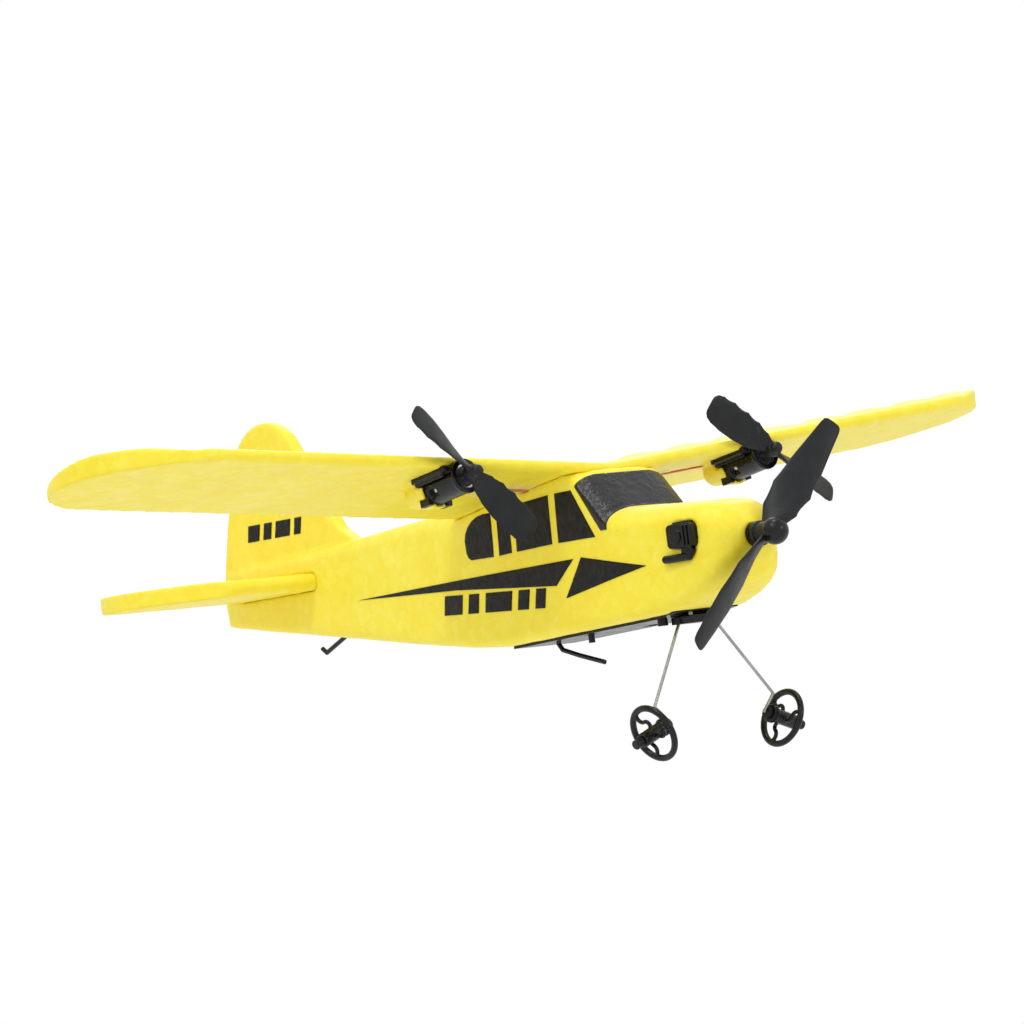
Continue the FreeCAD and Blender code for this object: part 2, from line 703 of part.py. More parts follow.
def electronics_tray(cutters):
    """Black floor moulding of the equipment bay, let into the belly."""
    floor = [(BELLY_START_X, tray_low(BELLY_START_X)), (TRAY_FRONT_X - 9.0, tray_low(TRAY_FRONT_X - 9.0)),
             (TRAY_FRONT_X, tray_low(TRAY_FRONT_X) + 1.0), (TRAY_FRONT_X, belly_z(TRAY_FRONT_X) + 2.0),
             (TRAY_FRONT_X - 6.0, belly_z(TRAY_FRONT_X - 6.0)), (BELLY_START_X, belly_z(BELLY_START_X))]
    tray = side_prism(floor, -TRAY_HALF_WIDTH, TRAY_HALF_WIDTH)
    wall = [(27.4, belly_z(27.4) - 0.3), (90.6, belly_z(90.6) - 0.3), (90.6, 44.5), (27.4, 44.5)]
    lip = side_prism(wall, -10.6, 10.6).cut(box((28.6, -9.4, 30.0), (89.4, 9.4, 60.0)))
    tray = tray.fuse(lip)
    for y in (-7.5, 7.5):
        tray = tray.fuse(cylinder(V(83.4, y, 38.2), Z_AXIS, 2.2, 1.5))
    for cutter in cutters:
        tray = tray.cut(cutter)
    return tray.removeSplitter()


def gear_clamp_block(cutters):
    """Flat-bottomed block screwed under the tray over the gear wire."""
    outline = [(CLAMP_REAR_X, CLAMP_LOW_Z), (CLAMP_FRONT_X, CLAMP_LOW_Z),
               (CLAMP_FRONT_X, tray_low(CLAMP_FRONT_X)), (CLAMP_REAR_X, tray_low(CLAMP_REAR_X))]
    block = side_prism(outline, -CLAMP_HALF_WIDTH, CLAMP_HALF_WIDTH)
    for cutter in cutters:
        block = block.cut(cutter)
    return block


def clamp_screws():
    screws = []
    for x, y in SCREW_PLACES:
        head = cylinder(V(x, y, CLAMP_LOW_Z + 0.2), Z_AXIS, 0.9, 1.5)
        slot = box((x - 1.0, y - 0.2, CLAMP_LOW_Z), (x + 1.0, y + 0.2, CLAMP_LOW_Z + 0.5))
        cross = box((x - 0.2, y - 1.0, CLAMP_LOW_Z), (x + 0.2, y + 1.0, CLAMP_LOW_Z + 0.5))
        shank = cylinder(V(x, y, CLAMP_LOW_Z + 1.1), Z_AXIS, 4.0, 0.7)
        screws.append(head.fuse(shank).cut(slot).cut(cross))
    return screws


def screw_holes():
    holes = []
    for x, y in SCREW_PLACES:
        holes.append(cylinder(V(x, y, CLAMP_LOW_Z - 1.0), Z_AXIS, 2.1, 1.5))
        holes.append(cylinder(V(x, y, CLAMP_LOW_Z + 1.1), Z_AXIS, 4.0, 0.7))
    return holes


# ---------------------------------------------------------------- small fittings
def tail_skid():
    return rod([V(-69.0, 0, 53.0), V(-74.0, 0, 49.4), V(-84.2, 0, 45.4), V(-86.2, 0, 46.9)], 0.7)


def antenna_wire():
    return rod([V(34.6, -5, 43.5), V(34.4, -5, 39.6), V(33.4, -5, 37.6),
                V(35.0, -5, 35.6), V(42.0, -5, 33.4), V(53.1, -5, 30.4)], 0.7)


def switch_body():
    """Slide-switch case standing on the tray floor, with its travel slot."""
    floor = belly_z(SWITCH_X + 5.0) + 0.1
    case = box((SWITCH_X - 4.5, SWITCH_Y - 2.0, floor), (SWITCH_X + 4.5, SWITCH_Y + 2.0, floor + 4.0))
    slot = box((SWITCH_X - 2.3, SWITCH_Y - 1.1, floor - 1.0), (SWITCH_X + 2.3, SWITCH_Y + 1.1, floor + 2.4))
    return case.cut(slot)


def switch_slot():
    """Opening in the tray for the switch's peg, as long as its travel."""
    return box((SWITCH_X - 2.4, SWITCH_Y - 1.2, 30.0), (SWITCH_X + 2.4, SWITCH_Y + 1.2, 45.0))


def switch_knob():
    floor = belly_z(SWITCH_X + 5.0) + 0.1
    slider = box((SWITCH_X - 1.1, SWITCH_Y - 1.0, floor + 0.2), (SWITCH_X + 1.1, SWITCH_Y + 1.0, floor + 2.3))
    peg = cylinder(V(SWITCH_X, SWITCH_Y, 36.4), Z_AXIS, floor + 0.4 - 36.4, 0.95)
    return slider.fuse(peg)


def charge_socket():
    """Two-pin charging socket that opens through the tray."""
    low = tray_low(SOCKET_X - 3.0) + 0.3
    case = box((SOCKET_X - 3.0, SOCKET_Y - 2.6, low), (SOCKET_X + 3.0, SOCKET_Y + 2.6, low + 6.0))
    mouth = box((SOCKET_X - 2.3, SOCKET_Y - 1.9, low - 1), (SOCKET_X + 2.3, SOCKET_Y + 1.9, low + 4.6))
    socket = case.cut(mouth)
    for dx in (-1.0, 1.0):
        socket = socket.fuse(cylinder(V(SOCKET_X + dx, SOCKET_Y, low + 1.0), Z_AXIS, 4.4, 0.3))
    return socket


def socket_opening():
    low = tray_low(SOCKET_X - 3.0) - 2.0
    return box((SOCKET_X - 3.0, SOCKET_Y - 2.6, low), (SOCKET_X + 3.0, SOCKET_Y + 2.6, low + 12.0))


BATTERY_LOW_Z = 45.6


def battery_cell():
    """Single soft lithium cell lying across the middle of the bay."""
    cell = box((60.5, -8.0, BATTERY_LOW_Z), (88.5, 8.0, BATTERY_LOW_Z + 5.5))
    return cell.makeFillet(1.2, [e for e in cell.Edges if e.BoundBox.XLength > 20])


def receiver_board():
    return box((31.0, -8.8, 47.0), (55.0, 8.8, 48.0))


def board_components():
    chip = box((44.0, -3.0, 48.0), (50.0, 3.0, 48.9))
    crystal = box((51.0, -4.0, 48.0), (53.6, 1.0, 49.2))
    transistors = [box((33.0, y, 48.0), (35.6, y + 1.6, 48.9)) for y in (-6.0, -3.0)]
    return group([chip, crystal] + transistors)


def battery_leads():
    """Two short wires from the cell to the receiver board."""
    runs = []
    for y in (-3.0, 3.0):
        runs.append(rod([V(60.5, y, 48.6), V(57.5, y, 48.6), V(55.0, y, 47.5)], 0.45))
    return group(run.cut(receiver_board()) for run in runs)


TAPE_THICK = 0.5


def lead_tape():
    """Clear tape holding the motor leads against the wing root."""
    x_low, x_high = 34.0, 48.0
    y_low, y_high = 17.6, 33.0
    corners = [V(x, y, wing_underside(x, y))
               for x, y in ((x_low, y_low), (x_high, y_low), (x_high, y_high), (x_low, y_high))]
    film = Part.Face(Part.makePolygon(corners + corners[:1])).extrude(V(0, 0, -TAPE_THICK))
    return film.cut(motor_leads().Solids[0]).cut(motor_leads().Solids[1])


# ---------------------------------------------------------------- assembly
def mount_room():
    """Recess in the foam over the mount's flange, so the flange sits into the wing."""
    gap = 0.06
    room = box((-20.5 - gap, -7.0 - gap, 0.2), (-4.4 + gap, 7.0 + gap, 3.2))
    room.rotate(V(0, 0, 0), X_AXIS, WING_DIHEDRAL)
    return room


def build_motors():
    """Both motor units; returns the solids the wing foam has to make room for."""
    pockets = []
    for side in SIDES:
        mount = placed(motor_mount(), side)
        cap = placed(motor_end_cap(), side)
        save(mount, "motor_mount_" + side)
        save(cap, "motor_end_cap_" + side)
        save(placed(motor_can(), side), "motor_can_" + side)
        save(placed(motor_magnet(), side), "motor_magnet_" + side)
        save(placed(motor_rotor(), side), "motor_rotor_" + side)
        save(placed(motor_shaft(), side), "motor_shaft_" + side)
        save(placed(wing_prop_at_rest(side), side), "wing_propeller_" + side)
        core = placed(cylinder(V(-22.0, 0, 0), X_AXIS, 20.0, CAN_R + 0.01), side)
        plate_room = placed(mount_room(), side)
        pockets += [plate_room, mount, core]
    return pockets


WING_PROP_REST = {"left": -36.8, "right": 49.4}
NOSE_PROP_REST = 43.8


def wing_prop_at_rest(side):
    prop = wing_propeller()
    prop.rotate(V(0, 0, 0), X_AXIS, WING_PROP_REST[side])
    return prop


def belly_relief():
    """Keeps the foam clear of the tray's rear edge."""
    return box((BELLY_START_X - 0.1, -12.6, 30.0), (BELLY_START_X + 0.5, 12.6, BELLY_START_Z))


def build_undercarriage():
    wire = gear_wire()
    save(wire, "gear_wire")
    for side in SIDES:
        save(on_axle(wheel(), side), "wheel_" + side)
        save(on_axle(stop_collar(), side, -5.7).cut(wire), "wheel_stop_collar_" + side)
        save(on_axle(retainer_cap(), side, 6.4).cut(wire), "wheel_retainer_cap_" + side)
    return wire


def main():
    os.makedirs("parts", exist_ok=True)
    motor_pockets = build_motors()
    wire = build_undercarriage()

    leads = {side: for_side(motor_leads(), side) for side in SIDES}
    holes = screw_holes()
    bush = nose_bush()
    engines = {side: for_side(engine_cylinder(), side) for side in SIDES}
    skid = tail_skid()
    antenna = antenna_wire()
    tail = tailplane()

    tray = electronics_tray([wire, switch_slot(), socket_opening(), antenna] + holes)
    block = gear_clamp_block([wire] + holes)
    save(tray, "electronics_tray")
    save(block, "gear_clamp_block")
    save(group(clamp_screws()), "gear_clamp_screws")

    room = [tail, bush, shaft_cavity(), skid, antenna, tray, belly_relief()]
    room += list(engines.values()) + list(leads.values()) + holes
    body = fuselage(room)
    save(body, "fuselage_foam")
    save(wing(motor_pockets + list(leads.values())), "wing_foam")
    save(tail, "tailplane_foam")

    shell = skin().cut(wing_seat())
    save(windscreen(shell), "windscreen_film")
    for side in SIDES:
        save(for_side(side_windows(shell), side), "side_windows_" + side)
        save(for_side(side_flash(shell), side), "side_flash_" + side)
        save(for_side(side_marking(shell), side), "side_marking_" + side)
        save(for_side(fin_marking(), side), "fin_marking_" + side)
        save(engines[side], "engine_cylinder_" + side)
        save(leads[side], "motor_leads_" + side)
        save(for_side(lead_tape(), side), "lead_tape_" + side)

    save(bush, "nose_bush")
    save(nose_shaft(), "nose_shaft")
    save(nose_shaft_collar(), "nose_shaft_collar")
    prop = nose_propeller()
    prop.rotate(V(0, 0, 0), X_AXIS, NOSE_PROP_REST)
    prop.translate(V(NOSE_PROP_X, 0, NOSE_PROP_Z))
    save(nose_spinner().cut(prop), "nose_spinner")
    save(prop, "nose_propeller")

    save(skid, "tail_skid")
    save(antenna, "antenna_wire")
    save(switch_body(), "switch_body")
    save(switch_knob(), "switch_knob")
    save(charge_socket(), "charge_socket")
    save(battery_cell(), "battery_cell")
    save(battery_leads(), "battery_leads")
    save(receiver_board(), "receiver_board")
    save(board_components(), "board_components")


main()
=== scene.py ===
import json
import math

import bmesh
import bpy
from mathutils import Matrix, Vector, noise
from mathutils.bvhtree import BVHTree

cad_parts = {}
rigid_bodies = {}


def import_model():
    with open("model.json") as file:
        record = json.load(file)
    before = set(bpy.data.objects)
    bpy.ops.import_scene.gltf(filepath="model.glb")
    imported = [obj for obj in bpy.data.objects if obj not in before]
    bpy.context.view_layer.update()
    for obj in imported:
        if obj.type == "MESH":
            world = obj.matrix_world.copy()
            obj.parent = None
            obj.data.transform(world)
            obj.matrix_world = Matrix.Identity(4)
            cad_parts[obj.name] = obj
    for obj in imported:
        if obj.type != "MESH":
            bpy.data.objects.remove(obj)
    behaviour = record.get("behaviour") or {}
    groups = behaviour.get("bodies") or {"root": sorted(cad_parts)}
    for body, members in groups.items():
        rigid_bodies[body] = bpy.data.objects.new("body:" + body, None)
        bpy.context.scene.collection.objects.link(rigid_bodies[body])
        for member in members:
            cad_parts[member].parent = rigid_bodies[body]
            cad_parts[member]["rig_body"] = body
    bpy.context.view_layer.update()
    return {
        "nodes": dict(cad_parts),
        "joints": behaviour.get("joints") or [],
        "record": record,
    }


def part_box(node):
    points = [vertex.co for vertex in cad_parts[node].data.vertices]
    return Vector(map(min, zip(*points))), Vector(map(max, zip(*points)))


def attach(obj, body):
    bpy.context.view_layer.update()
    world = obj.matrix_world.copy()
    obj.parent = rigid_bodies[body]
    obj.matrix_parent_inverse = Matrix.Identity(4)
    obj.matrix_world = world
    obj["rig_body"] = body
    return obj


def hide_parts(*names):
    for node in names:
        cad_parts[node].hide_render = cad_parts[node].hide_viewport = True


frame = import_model()
NODES = frame["nodes"]
JOINTS = {joint["name"]: joint for joint in frame["joints"]}
MM = 0.001
SIDES = {"left": 1.0, "right": -1.0}


def node_body(node):
    """The body a CAD node rides on."""
    return NODES[node]["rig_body"]


# ---------------------------------------------------------------- node material helpers
class Paint:
    """Builds one procedural material; every pattern is laid out in object space, in metres."""

    def __init__(self, name):
        self.mat = bpy.data.materials.new(name)
        self.mat.use_nodes = True
        self.tree = self.mat.node_tree
        self.tree.nodes.clear()
        self.out = self.tree.nodes.new("ShaderNodeOutputMaterial")
        self.bsdf = self.tree.nodes.new("ShaderNodeBsdfPrincipled")
        self.tree.links.new(self.bsdf.outputs[0], self.out.inputs["Surface"])
        self.coords = self.tree.nodes.new("ShaderNodeTexCoord").outputs["Object"]

    def link(self, a, b):
        self.tree.links.new(a, b)

    def set(self, **values):
        for key, value in values.items():
            socket = self.bsdf.inputs[key.replace("_", " ").title().replace("Ior", "IOR")]
            if hasattr(value, "links"):
                self.link(value, socket)
            elif isinstance(value, tuple) and len(value) == 3:
                socket.default_value = (*value, 1.0)
            else:
                socket.default_value = value

    def stretched(self, scale):
        node = self.tree.nodes.new("ShaderNodeMapping")
        node.inputs["Scale"].default_value = scale
        self.link(self.coords, node.inputs["Vector"])
        return node.outputs[0]

    def noise(self, scale, detail=3.0, rough=0.5, vector=None, distortion=0.0):
        node = self.tree.nodes.new("ShaderNodeTexNoise")
        node.inputs["Scale"].default_value = scale
        node.inputs["Detail"].default_value = detail
        node.inputs["Roughness"].default_value = rough
        node.inputs["Distortion"].default_value = distortion
        self.link(vector or self.coords, node.inputs["Vector"])
        return node.outputs["Fac"]

    def cells(self, scale, feature="F1", output="Distance", vector=None):
        node = self.tree.nodes.new("ShaderNodeTexVoronoi")
        node.feature = feature
        node.inputs["Scale"].default_value = scale
        self.link(vector or self.coords, node.inputs["Vector"])
        return node.outputs[output]

    def grey(self, colour):
        node = self.tree.nodes.new("ShaderNodeRGBToBW")
        self.link(colour, node.inputs[0])
        return node.outputs[0]

    def remap(self, value, low, high, to_low=0.0, to_high=1.0):
        node = self.tree.nodes.new("ShaderNodeMapRange")
        self.link(value, node.inputs["Value"])
        node.inputs["From Min"].default_value = low
        node.inputs["From Max"].default_value = high
        node.inputs["To Min"].default_value = to_low
        node.inputs["To Max"].default_value = to_high
        return node.outputs["Result"]

    def math(self, operation, a, b):
        node = self.tree.nodes.new("ShaderNodeMath")
        node.operation = operation
        for index, value in enumerate((a, b)):
            if hasattr(value, "links"):
                self.link(value, node.inputs[index])
            else:
                node.inputs[index].default_value = value
        return node.outputs[0]

    def ramp(self, value, stops):
        node = self.tree.nodes.new("ShaderNodeValToRGB")
        elements = node.color_ramp.elements
        while len(elements) < len(stops):
            elements.new(0.5)
        for element, (place, colour) in zip(elements, stops):
            element.position = place
            element.color = (*colour, 1.0)
        self.link(value, node.inputs["Fac"])
        return node.outputs["Color"]

    def mix(self, share, a, b, blend="MIX"):
        node = self.tree.nodes.new("ShaderNodeMix")
        node.data_type = "RGBA"
        node.blend_type = blend
        if hasattr(share, "links"):
            self.link(share, node.inputs["Factor"])
        else:
            node.inputs["Factor"].default_value = share
        for value, socket in ((a, node.inputs[6]), (b, node.inputs[7])):
            if hasattr(value, "links"):
                self.link(value, socket)
            else:
                socket.default_value = (*value, 1.0)
        return node.outputs[2]

    def bump(self, height, strength, distance, under=None):
        node = self.tree.nodes.new("ShaderNodeBump")
        node.inputs["Strength"].default_value = strength
        node.inputs["Distance"].default_value = distance
        self.link(height, node.inputs["Height"])
        if under is not None:
            self.link(under, node.inputs["Normal"])
        return node.outputs["Normal"]


BEAD_SCALE = 330.0      # foam beads are about 3 mm across


def bead_pattern(paint):
    """Height of the foam's beads: domes with thin seams."""
    seam = paint.cells(BEAD_SCALE, "DISTANCE_TO_EDGE")
    dome = paint.remap(seam, 0.0, 0.35)
    return dome


def foam_material():
    p = Paint("foam_yellow")
    dome = bead_pattern(p)
    each_bead = p.grey(p.cells(BEAD_SCALE, "F1", "Color"))
    drift = p.noise(45.0, 3.0, 0.55)
    mottle = p.noise(230.0, 3.0, 0.6)
    patches = p.math("ADD", p.math("MULTIPLY", drift, 0.50), p.math("MULTIPLY", mottle, 0.24))
    shade = p.math("ADD", p.math("MULTIPLY", each_bead, 0.26), patches)
    colour = p.ramp(shade, [(0.25, (0.93, 0.74, 0.025)), (0.5, (0.96, 0.80, 0.045)),
                            (0.8, (0.99, 0.87, 0.11))])
    seams = p.remap(dome, 0.0, 0.25)
    colour = p.mix(p.remap(seams, 0.0, 1.0, 0.09, 0.0), colour, (0.86, 0.58, 0.02))
    skin = p.noise(1700.0, 2.0, 0.6)
    rough = p.remap(p.noise(160.0, 2.0), 0.3, 0.7, 0.36, 0.52)
    coarse = p.bump(dome, 0.22, 0.00022)
    fine = p.bump(skin, 0.10, 0.00008, coarse)
    p.set(base_color=colour, roughness=rough, normal=fine, ior=1.46)
    p.bsdf.inputs["Subsurface Weight"].default_value = 0.10
    p.bsdf.inputs["Subsurface Radius"].default_value = (1.0, 0.8, 0.25)
    p.bsdf.inputs["Subsurface Scale"].default_value = 0.0012
    return p.mat


def sticker_material():
    p = Paint("sticker_black")
    dome = bead_pattern(p)
    drift = p.noise(260.0, 3.0, 0.6)
    colour = p.ramp(drift, [(0.3, (0.0055, 0.005, 0.0042)), (0.75, (0.013, 0.012, 0.0095))])
    coarse = p.bump(dome, 0.30, 0.00022)
    fine = p.bump(p.noise(2400.0, 2.0, 0.6), 0.16, 0.00008, coarse)
    rough = p.remap(p.noise(420.0, 2.0), 0.3, 0.7, 0.38, 0.60)
    p.set(base_color=colour, roughness=rough, normal=fine, specular_ior_level=0.22)
    return p.mat


def film_material():
    p = Paint("film_black")
    colour = p.ramp(p.noise(300.0, 2.0), [(0.3, (0.003, 0.003, 0.0035)), (0.7, (0.008, 0.008, 0.009))])
    folds = p.noise(620.0, 4.0, 0.62, p.stretched((1.0, 0.55, 1.0)), 0.4)
    creases = p.cells(520.0, "DISTANCE_TO_EDGE")
    rough = p.remap(p.noise(500.0, 3.0), 0.35, 0.65, 0.16, 0.34)
    coarse = p.bump(folds, 0.9, 0.00030)
    fine = p.bump(p.remap(creases, 0.0, 0.3), 0.35, 0.00012, coarse)
    p.set(base_color=colour, roughness=rough, normal=fine, specular_ior_level=0.55)
    return p.mat


def plastic_material(name, dark, light, rough_low, rough_high, grain=0.10, shine=0.32):
    """Moulded plastic: faint colour drift, pebbled skin and rubbed patches."""
    p = Paint(name)
    colour = p.ramp(p.noise(180.0, 3.0, 0.6), [(0.3, dark), (0.75, light)])
    rough = p.remap(p.noise(240.0, 3.0, 0.6), 0.3, 0.7, rough_low, rough_high)
    coarse = p.bump(p.noise(380.0, 2.0), grain, 0.00010)
    fine = p.bump(p.noise(2600.0, 2.0, 0.6), grain, 0.00005, coarse)
    p.set(base_color=colour, roughness=rough, normal=fine, specular_ior_level=shine)
    return p.mat


def propeller_material():
    """Charcoal moulding with patches of pale scuffs."""
    p = Paint("propeller_black")
    base = p.ramp(p.noise(150.0, 3.0, 0.6), [(0.3, (0.0045, 0.005, 0.0062)),
                                             (0.75, (0.0095, 0.0105, 0.0125))])
    scratch = p.noise(900.0, 4.0, 0.7, p.stretched((0.25, 1.0, 0.35)), 1.2)
    patches = p.noise(70.0, 2.0, 0.5)
    worn = p.math("MULTIPLY", p.remap(scratch, 0.64, 0.74), p.remap(patches, 0.54, 0.64))
    colour = p.mix(p.math("MULTIPLY", worn, 0.55), base, (0.42, 0.43, 0.45))
    rough = p.remap(p.noise(300.0, 3.0, 0.6), 0.3, 0.7, 0.34, 0.48)
    coarse = p.bump(p.noise(330.0, 2.0), 0.10, 0.00010)
    fine = p.bump(p.noise(2600.0, 2.0, 0.6), 0.12, 0.00005, coarse)
    p.set(base_color=colour, roughness=rough, normal=fine, specular_ior_level=0.34)
    return p.mat


def metal_material(name, dark, light, rough_low, rough_high, stretch=(1.0, 1.0, 1.0),
                   drag_depth=0.18):
    """Drawn or pressed metal with fine drag lines and dull patches."""
    p = Paint(name)
    colour = p.ramp(p.noise(220.0, 3.0, 0.6), [(0.3, dark), (0.7, light)])
    drag = p.noise(1500.0, 3.0, 0.6, p.stretched(stretch))
    rough = p.remap(p.noise(500.0, 3.0, 0.6), 0.3, 0.7, rough_low, rough_high)
    p.set(base_color=colour, roughness=rough, metallic=1.0, normal=p.bump(drag, drag_depth, 0.00004))
    return p.mat


def lead_material():
    p = Paint("lead_red")
    colour = p.ramp(p.noise(300.0, 2.0), [(0.3, (0.42, 0.012, 0.008)), (0.7, (0.62, 0.03, 0.018))])
    p.set(base_color=colour, roughness=p.remap(p.noise(700.0, 2.0), 0.3, 0.7, 0.28, 0.42),
          normal=p.bump(p.noise(1500.0, 2.0), 0.1, 0.00005))
    return p.mat


def board_material():
    """Green laminate with plated tracks."""
    p = Paint("board_green")
    tracks = p.cells(260.0, "DISTANCE_TO_EDGE", "Distance", p.stretched((1.0, 0.4, 1.0)))
    track = p.remap(tracks, 0.03, 0.06, 1.0, 0.0)
    base = p.ramp(p.noise(120.0, 2.0), [(0.3, (0.004, 0.07, 0.022)), (0.7, (0.008, 0.12, 0.035))])
    colour = p.mix(p.math("MULTIPLY", track, 0.6), base, (0.03, 0.24, 0.07))
    p.set(base_color=colour, roughness=p.remap(p.noise(400.0, 2.0), 0.3, 0.7, 0.28, 0.42),
          normal=p.bump(track, 0.25, 0.00006))
    return p.mat


def cell_material():
    """Heat-sealed foil of a soft lithium cell, lightly wrinkled."""
    p = Paint("cell_silver")
    wrinkle = p.noise(260.0, 4.0, 0.6, None, 0.6)
    colour = p.ramp(wrinkle, [(0.3, (0.50, 0.51, 0.53)), (0.7, (0.72, 0.73, 0.74))])
    p.set(base_color=colour, metallic=0.85, roughness=p.remap(wrinkle, 0.3, 0.7, 0.28, 0.45),
          normal=p.bump(wrinkle, 0.5, 0.0002))
    return p.mat


def tape_material():
    """Clear tape: mostly see-through, with gloss, haze and small trapped bubbles."""
    p = Paint("clear_tape")
    haze = p.noise(240.0, 3.0, 0.6)
    bubbles = p.remap(p.cells(420.0), 0.0, 0.30, 1.0, 0.0)
    p.set(base_color=(0.97, 0.93, 0.62), roughness=p.remap(haze, 0.3, 0.7, 0.08, 0.22),
          normal=p.bump(p.noise(330.0, 3.0), 0.6, 0.0002))
    clear = p.tree.nodes.new("ShaderNodeBsdfTransparent")
    blend = p.tree.nodes.new("ShaderNodeMixShader")
    p.link(p.math("ADD", p.remap(haze, 0.3, 0.8, 0.12, 0.26), p.math("MULTIPLY", bubbles, 0.12)),
           blend.inputs[0])
    p.link(clear.outputs[0], blend.inputs[1])
    p.link(p.bsdf.outputs[0], blend.inputs[2])
    p.link(blend.outputs[0], p.out.inputs["Surface"])
    return p.mat


MATERIALS = {
    "foam_yellow": foam_material(),
    "sticker_black": sticker_material(),
    "film_black": film_material(),
    "plastic_black": plastic_material("plastic_black", (0.003, 0.003, 0.003), (0.008, 0.008, 0.008),
                                      0.20, 0.36),
    "propeller_black": propeller_material(),
    "steel_wire": metal_material("steel_wire", (0.30, 0.30, 0.29), (0.40, 0.40, 0.39), 0.26, 0.34,
                                 (1, 1, 0.1), 0.01),
    "skid_black": plastic_material("skid_black", (0.008, 0.008, 0.008), (0.018, 0.018, 0.018),
                                   0.28, 0.42),
    "motor_steel": metal_material("motor_steel", (0.55, 0.55, 0.54), (0.80, 0.80, 0.79), 0.14, 0.28,
                                  (0.1, 1, 1)),
    "magnet": metal_material("magnet", (0.05, 0.05, 0.055), (0.10, 0.10, 0.10), 0.45, 0.60),
    "copper": metal_material("copper", (0.62, 0.24, 0.09), (0.82, 0.38, 0.17), 0.22, 0.38, (0.1, 1, 1)),
    "lead_red": lead_material(),
    "antenna_black": plastic_material("antenna_black", (0.007, 0.007, 0.007), (0.015, 0.015, 0.015),
                                      0.30, 0.45),
    "board_green": board_material(),
    "chip_black": plastic_material("chip_black", (0.010, 0.010, 0.011), (0.022, 0.022, 0.023),
                                   0.38, 0.55),
    "cell_silver": cell_material(),
    "clear_tape": tape_material(),
}


SLOTS = {entry["node"]: entry["material_slot"] for entry in frame["record"]["subparts"]}


# ---------------------------------------------------------------- mesh helpers
def new_piece(name, mesh, like_node, slot):
    piece = bpy.data.objects.new(name, mesh)
    bpy.context.scene.collection.objects.link(piece)
    mesh.materials.clear()
    mesh.materials.append(MATERIALS[slot])
    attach(piece, node_body(like_node))
    return piece


def node_bmesh(node):
    """An editable copy of a CAD node's mesh, with the seams between its faces welded."""
    bm = bmesh.new()
    bm.from_mesh(NODES[node].data)
    bmesh.ops.remove_doubles(bm, verts=bm.verts, dist=0.004 * MM)
    return bm


def applied(obj):
    """Bake an object's modifiers into its mesh."""
    depsgraph = bpy.context.evaluated_depsgraph_get()
    baked = bpy.data.meshes.new_from_object(obj.evaluated_get(depsgraph))
    old = obj.data
    obj.modifiers.clear()
    obj.data = baked
    bpy.data.meshes.remove(old)
    return obj


def smooth_faces(mesh):
    mesh.polygons.foreach_set("use_smooth", [True] * len(mesh.polygons))


def remeshed(node, voxel, relax):
    """The node's solid as an even skin of small faces with its edges eased."""
    bm = node_bmesh(node)
    mesh = bpy.data.meshes.new(node + "_skin")
    bm.to_mesh(mesh)
    bm.free()
    obj = bpy.data.objects.new(node + "_skin", mesh)
    bpy.context.scene.collection.objects.link(obj)
    remesh = obj.modifiers.new("even", "REMESH")
    remesh.mode = "VOXEL"
    remesh.voxel_size = voxel
    ease = obj.modifiers.new("ease", "SMOOTH")
    ease.factor = 0.5
    ease.iterations = relax
    applied(obj)
    smooth_faces(obj.data)
    return obj


def displaced(obj, offset):
    """Move every vertex along its normal by offset(position, normal), in metres."""
    mesh = obj.data
    normals = [v.normal.copy() for v in mesh.vertices]
    for vertex, normal in zip(mesh.vertices, normals):
        vertex.co += normal * offset(vertex.co, normal)
    mesh.update()


FOAM_WAVE = 0.11 * MM        # height of the foam's unevenness
SLOW_WAVES = 130.0           # waves per metre, about two beads across
QUICK_WAVES = 330.0          # waves per metre, one bead across
QUICK_SHIFT = Vector((7.0, 3.0, 1.0))


def foam_wave(point):
    """Slow unevenness of moulded foam, a bead or two across."""
    slow = noise.noise(point * SLOW_WAVES)
    quick = noise.noise(point * QUICK_WAVES + QUICK_SHIFT)
    return FOAM_WAVE * (0.7 * slow + 0.5 * quick)


def foam_piece(node, voxel, relax, offset):
    obj = remeshed(node, voxel, relax)
    displaced(obj, offset)
    obj.name = node + "_body"
    obj.data.materials.clear()
    obj.data.materials.append(MATERIALS["foam_yellow"])
    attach(obj, node_body(node))
    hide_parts(node)
    return obj


# ---------------------------------------------------------------- foam mouldings
RIB_PITCH = 18.6 * MM
RIB_HEIGHT = 1.3 * MM
RIB_FIRST = 24.0 * MM        # middle of the first rib, out from the plane of symmetry
RIB_REAR_FADE = 0.15         # share of the chord over which a rib rises from the trailing edge
RIB_FRONT_END = 0.86         # share of the chord where a rib has died away
RIB_FRONT_FADE = 0.22
RIB_TIP_FADE = 16.0 * MM


def rib_profile(span_place):
    """1 on the crest of a rib, 0 between ribs; none over the cabin."""
    if span_place < RIB_FIRST - RIB_PITCH / 2:
        return 0.0
    phase = (span_place - RIB_FIRST) / RIB_PITCH
    return (0.5 + 0.5 * math.cos(2 * math.pi * phase)) ** 1.5


def wing_offset(low, high):
    """Ribs pressed up through the wing's upper skin, fading at both its edges."""
    def offset(point, normal):
        value = foam_wave(point)
        if normal.z > 0.5:
            along = (point.x - low.x) / (high.x - low.x)
            rear = along / RIB_REAR_FADE
            front = (RIB_FRONT_END - along) / RIB_FRONT_FADE
            fade = max(0.0, min(1.0, rear, front))
            tip = max(0.0, min(1.0, (high.y - abs(point.y)) / RIB_TIP_FADE))
            value += RIB_HEIGHT * rib_profile(abs(point.y)) * fade * tip
        return value
    return offset


def plain_offset(point, normal):
    return foam_wave(point)


